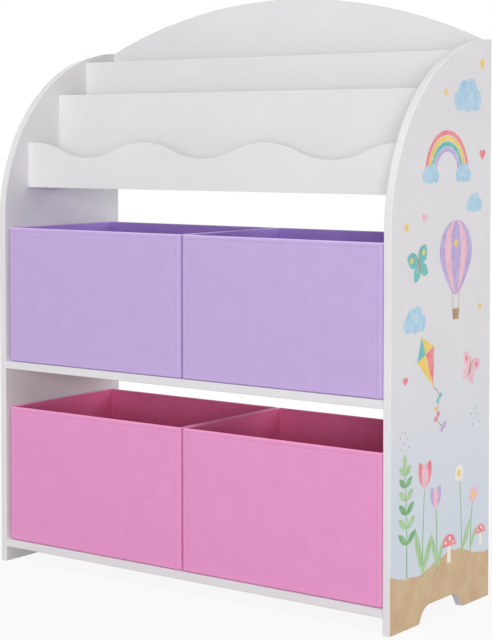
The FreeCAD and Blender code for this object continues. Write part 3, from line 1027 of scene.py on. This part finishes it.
print("films of ink: rainbow", len(list(rainbow(0, 1))), "and balloon", len(list(balloon(0, 1))))

# %% Butterfly, kite and sprinkle
def butterfly(centre, size, ink, spot_ink, tilt):
    turned = size * np.exp(1j * math.radians(tilt))
    for side in (-1, 1):
        upper, lower = complex(0.52 * side, 0.42), complex(0.36 * side, -0.36)
        feeler = curve(0.1j, complex(0.02 * side, 0.3), complex(0.14 * side, 0.36))
        yield ink, centre + turned * leaf(0, lower, 0.34)
        yield ink, centre + turned * leaf(0.04j, upper, 0.44)
        yield spot_ink, centre + turned * disc(0.62 * upper, 0.08)
        yield "bark", centre + turned * ribbon(feeler, 0.025)
    yield "bark", centre + turned * leaf(-0.24j, 0.2j, 0.09)


def kite(centre, size, tilt):
    turned = size * np.exp(1j * math.radians(tilt))
    top, left, right, low = 0.5j, -0.34 + 0.12j, 0.34 + 0.12j, -0.6j
    middle = 0.12j
    upper_panes = (("teal", (top, left, middle)), ("sun", (top, middle, right)))
    lower_panes = (("sun", (left, low, middle)), ("coral", (middle, low, right)))
    for ink, pane in upper_panes + lower_panes:
        yield ink, centre + turned * np.array(pane)
    share = np.linspace(0, 1, 30)
    tail = centre + turned * (low - 0.95j * share + 0.12 * np.sin(2.2 * math.pi * share))
    yield "bark", ribbon(tail, 1.4)
    for i, ink in ((9, "teal"), (18, "coral"), (27, "lilac")):
        for side in (-1, 1):
            yield ink, leaf(tail[i], tail[i] + turned * side * (0.13 + 0.04j), 0.1 * size)


def sprinkle(centre, ink):
    for place in (0, 11 + 5j, -9 + 8j, 4 + 15j, -5 - 8j, 14 - 6j):
        yield ink, disc(centre + place, 1.6)


print("films of ink: kite", len(list(kite(0, 1, 0))), "and sprinkle", len(list(sprinkle(0, "sun"))))

# %% [markdown]
# ## Motifs of the garden
#
# Plants grow out of the sandy ground, so each is given the place of its foot, a height and a lean. They
# share one kind of stem, a stroke that starts a little below the ground and thins towards the top. The sizes
# of leaves follow from the height, so a small plant is as well shaped as a tall one.

# %% Garden motifs
stem_width, stem_root = 2.6, 4j
leaf_pairs = 6
blossom_size, blossom_eye = 13, 5.2
blossom_bumps = [(0, 0.5)] + [(0.62 * np.exp(2j * math.pi * i / 8), 0.34) for i in range(8)]


def stem(foot, height, lean):
    """The top of a stem, and its outline."""
    top = foot + complex(lean, height)
    return top, ribbon(curve(foot - stem_root, foot + 0.6j * height, top), stem_width, 0.6 * stem_width)


def tulip(foot, height, ink, heart_ink, lean):
    top, stalk = stem(foot, height, lean)
    size = 0.16 * height + 10
    yield "moss", stalk
    yield "sage", leaf(foot, foot + complex(-0.17, 0.55) * height, 0.11 * height)
    yield "sage", leaf(foot, foot + complex(0.2, 0.42) * height, 0.1 * height)
    for side in (-1, 1):
        yield ink, leaf(top - 0.25j * size, top + complex(0.5 * side, 1.05) * size, 0.62 * size)
    yield heart_ink, leaf(top - 0.3j * size, top + 1.0j * size, 0.62 * size)


def daisy(foot, height, ink, lean):
    top, stalk = stem(foot, height, lean)
    yield "moss", stalk
    yield "sage", leaf(foot, foot + complex(0.22, 0.4) * height, 0.1 * height)
    yield ink, puff(top, blossom_size, blossom_bumps)
    yield "sun", disc(top, blossom_eye)


def sprig(foot, height, lean):
    top, stalk = stem(foot, height, lean)
    yield "moss", stalk
    for i in range(leaf_pairs):
        share = 0.25 + 0.68 * i / (leaf_pairs - 1)
        joint = curve(foot, foot + 0.6j * height, top, share)
        for side in (-1, 1):
            tip = joint + (0.17 - 0.07 * share) * height * complex(side, 0.8)
            yield "sage" if i % 2 else "moss", leaf(joint, tip, 0.07 * height)
    yield "sage", leaf(top - 2j, top + 0.14j * height, 0.07 * height)


def toadstool(foot, size):
    cap = np.exp(1j * np.linspace(0, math.pi, 24))
    yield "cream", foot + size * np.array([-0.14 - 0.1j, 0.14 - 0.1j, 0.1 + 0.55j, -0.1 + 0.55j])
    yield "coral", foot + 0.5j * size + size * (0.5 * cap.real + 0.44j * cap.imag)
    for place, radius in ((-0.22 + 0.66j, 0.06), (0.05 + 0.77j, 0.075), (0.27 + 0.63j, 0.05)):
        yield "cream", disc(foot + size * place, size * radius)


print("films of ink: sprig", len(list(sprig(0, 1, 0))), "and toadstool", len(list(toadstool(0, 1))))

# %% [markdown]
# ## Inks
#
# Nursery prints look painted: pigment settles unevenly, so each colour wanders between a full and a thin
# tone, with a fine paper-like tooth. Water-based ink dries matt. One function makes all the inks, because
# they differ only in colour, and the wandering is drawn some 14 mm wide, about as broad as a brush.

# %% Inks
brush_width = 14 * mm
ink_tooth, ink_tooth_depth = 0.8 * mm, 0.02 * mm
ink_tones = {
    "lilac": ("#b9a5d6", "#cdbfe4"), "blush": ("#efb9cb", "#f6d2dc"), "coral": ("#ec7f8d", "#f3a3a8"),
    "sun": ("#f0c95f", "#f6dc8f"), "teal": ("#66b9b8", "#93d0cc"), "sky": ("#a9cfe6", "#c9e1ef"),
    "sage": ("#a3c994", "#c0dcb2"), "moss": ("#74ab78", "#96c493"), "bark": ("#a98766", "#c3a585"),
    "cream": ("#f7ecdc", "#fbf5ea"),
}


def water_ink(name, tones):
    material, tree, place = new_material("water_ink_" + name)
    pool = {"Detail": 5.0, "Roughness": 0.6, "Distortion": 0.6}
    _, colour = mottled(tree, place, brush_width, tones, (0.35, 0.68), **pool)
    tooth = add(tree, "TexNoise", {"Vector": place, "Scale": 1 / ink_tooth, "Detail": 3.0})[0]
    rough = add(tree, "MapRange", {"Value": tooth, "To Min": 0.55, "To Max": 0.72})[0]
    look = {"Base Color": colour, "Roughness": rough, "Specular IOR Level": 0.35}
    surface(tree, look, tooth, ink_tooth_depth, 0.4)
    return material


inks = {name: water_ink(name, tones) for name, tones in ink_tones.items()}
print("inks:", list(inks))

# %% [markdown]
# ## Laying out the print
#
# A nursery print is strewn: large motifs in a loose zigzag, small ones in the gaps, plants along the ground.
# Chance could strew them, but would crowd some and leave holes, so each has a place given one by one.

# %% Layout of the print
star_places = ((250 + 792j, 10), (146 + 748j, 8), (40 + 560j, 8), (246 + 436j, 7), (120 + 300j, 6))
heart_places = (("coral", 252 + 660j, 18), ("blush", 88 + 572j, 15), ("coral", 38 + 348j, 14))
garden = {
    "clouds": [*cloud(208 + 742j, 78), *cloud(62 + 428j, 60), *cloud(228 + 588j, 46)],
    "stars": [("sun", star(place, size)) for place, size in star_places],
    "rainbow": [*rainbow(150 + 634j, 62)],
    "hearts": [(ink, heart(place, size)) for ink, place, size in heart_places],
    "balloon": [*balloon(176 + 520j, 46)],
    "teal_butterfly": [*butterfly(74 + 506j, 52, "teal", "sun", 18)],
    "kite": [*kite(96 + 372j, 74, 24)],
    "pink_butterfly": [*butterfly(218 + 346j, 48, "blush", "coral", -22)],
    "sprinkles": [*sprinkle(232 + 272j, "teal"), *sprinkle(34 + 262j, "lilac")],
    "sprig": [*sprig(44 + 76j, 150, -6)],
    "tulips": [*tulip(86 + 70j, 128, "coral", "blush", 6), *tulip(126 + 72j, 92, "lilac", "blush", -4)],
    "daisies": [*daisy(196 + 80j, 118, "cream", -8), *daisy(222 + 82j, 78, "blush", 8)],
    "toadstools": [*toadstool(160 + 76j, 40), *toadstool(252 + 84j, 30)],
}
print("print:", len(garden), "motifs with", sum(len(motif) for motif in garden.values()), "films of ink")

# %% [markdown]
# ## Printing both sides
#
# A plate is pulled up from its outline: a top, a bottom and a narrow rim, so that each film is a closed
# shape. The left panel gets the mirror image, with the same motifs at the same distance from the front.

# %% Print the motifs
film_step, film_height = 0.015 * mm, 0.02 * mm


def printed(name, motif, side):
    """One motif as thin plates on the outer face of the right (1) or left (-1) panel."""
    mesh = bmesh.new()
    palette = list(dict.fromkeys(ink for ink, _ in motif))
    for layer, (ink, outline) in enumerate(motif):
        low_x = face_x + film_step * (layer + 0.5)
        spots = [(panel_low.y + point.real * mm, point.imag * mm) for point in outline]
        rims = [[mesh.verts.new((side * x, *spot)) for spot in spots] for x in (low_x, low_x + film_height)]
        faces = [mesh.faces.new(rims[0]), mesh.faces.new(rims[1])]
        for i in range(len(outline)):
            n = (i + 1) % len(outline)
            faces.append(mesh.faces.new((rims[0][i], rims[0][n], rims[1][n], rims[1][i])))
        for face in faces:
            face.material_index = palette.index(ink)
    bmesh.ops.recalc_face_normals(mesh, faces=mesh.faces)
    piece = piece_from(name, mesh, *[inks[ink] for ink in palette])
    piece.data.polygons.foreach_set("use_smooth", [False] * len(piece.data.polygons))
    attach(piece, "cabinet")


for side, word in ((1, "right"), (-1, "left")):
    for motif_name, motif in garden.items():
        printed(f"{word}_print_{motif_name}", motif, side)
print("printed on both sides, in films", round(film_height / mm, 3), "mm high")

# %% [markdown]
# ## Floor and white walls
#
# A white studio has light from everywhere, off a pale floor and white walls. The world plays the walls. Only
# the camera and mirror-like rays see it as pure white, and what falls on the unit is a good deal weaker. The
# floor is pale grey paper that does the same with most of its colour, so it looks white and still takes a
# soft shadow. White paper would throw more light up, onto the front rail but not into the pocket behind it,
# and the rails would look less even than they do in such photos. More light on everything would also make
# the floor white, but would burn out the white boards with it.

# %% Floor and walls
wall_light = 0.3
floor_glow = 0.9
shadow_reach = (0.4, 1.3)
paper_mottle = 500 * mm
floor_half, floor_drop = 20, 0.2 * mm


def seen_directly(tree):
    """1 for rays from the camera, off a mirror or through glass, and 0 for the light on matt surfaces."""
    path = add(tree, "LightPath")
    seen = add(tree, "Math", {0: path["Is Camera Ray"], 1: path["Is Glossy Ray"]}, operation="MAXIMUM")[0]
    return add(tree, "Math", {0: seen, 1: path["Is Transmission Ray"]}, operation="MAXIMUM")[0]


scene.world = bpy.data.worlds.new("white_studio")
scene.world.use_nodes = True
tree = scene.world.node_tree
tree.nodes.clear()
level = add(tree, "MapRange", {"Value": seen_directly(tree), "To Min": wall_light})[0]
walls = add(tree, "Background", {"Color": "#ffffff", "Strength": level})[0]
add(tree, "OutputWorld", {"Surface": walls})

paper, tree, place = new_material("pale_grey_paper_floor")
_, grey = mottled(tree, place, paper_mottle, ("#cfcecf", "#cbcacb"), Detail=3.0)
lit = add(tree, "BsdfDiffuse", {"Color": grey, "Roughness": 0.6})[0]
glow = add(tree, "Emission", {"Color": "#ffffff", "Strength": 1.0})[0]
distance = add(tree, "VectorMath", {0: place}, operation="LENGTH")["Value"]
fade = {"Value": distance, "From Min": shadow_reach[0], "From Max": shadow_reach[1], "To Min": floor_glow}
fade = add(tree, "MapRange", fade, interpolation_type="SMOOTHSTEP")[0]
share = add(tree, "Math", {0: seen_directly(tree), 1: fade}, operation="MULTIPLY")[0]
mixed = add(tree, "MixShader", {0: share, 1: lit, 2: glow})[0]
add(tree, "OutputMaterial", {"Surface": mixed})

sheet = bmesh.new()
bmesh.ops.create_grid(sheet, x_segments=8, y_segments=8, size=floor_half)
floor = piece_from("studio_floor", sheet, paper)
floor.location.z = -floor_drop
print("stage: white walls at", wall_light, "and a floor", 2 * floor_half, "m wide")

# %% [markdown]
# ## Lamps
#
# Four soft lamps stand round the unit: one low in front, which reaches into the bins, one high in front,
# which falls into the book pockets, one to the right for the printed side, and one behind. Large lamps give
# the soft edges of shadow that a studio's light boxes give. A sun lamp would draw hard ones. Their levels
# are set so that a colour renders about as it is written.

# %% Lamps
lamps = {
    "low_front_lamp": ((3.51, -4.84, 0.97), 153),
    "high_front_lamp": ((0.0, -3.86, 5.05), 127),
    "right_lamp": ((5.71, 1.53, 1.49), 85),
    "rear_lamp": ((-4.2, 3.6, 2.2), 150),
}
lamp_width, lamp_height = 2.4, 1.7
lamp_aim = Vector((0, 0, 0.45))
for lamp_name, (place, power) in lamps.items():
    lamp = bpy.data.lights.new(lamp_name, "AREA")
    lamp.shape = "RECTANGLE"
    lamp.size, lamp.size_y = lamp_width, lamp_height
    lamp.energy = power
    hung = bpy.data.objects.new(lamp_name, lamp)
    hung.location = place
    hung.rotation_euler = (lamp_aim - hung.location).to_track_quat("-Z", "Y").to_euler()
    scene.collection.objects.link(hung)
print("lamps:", {lamp_name: power for lamp_name, (_, power) in lamps.items()}, "watts")
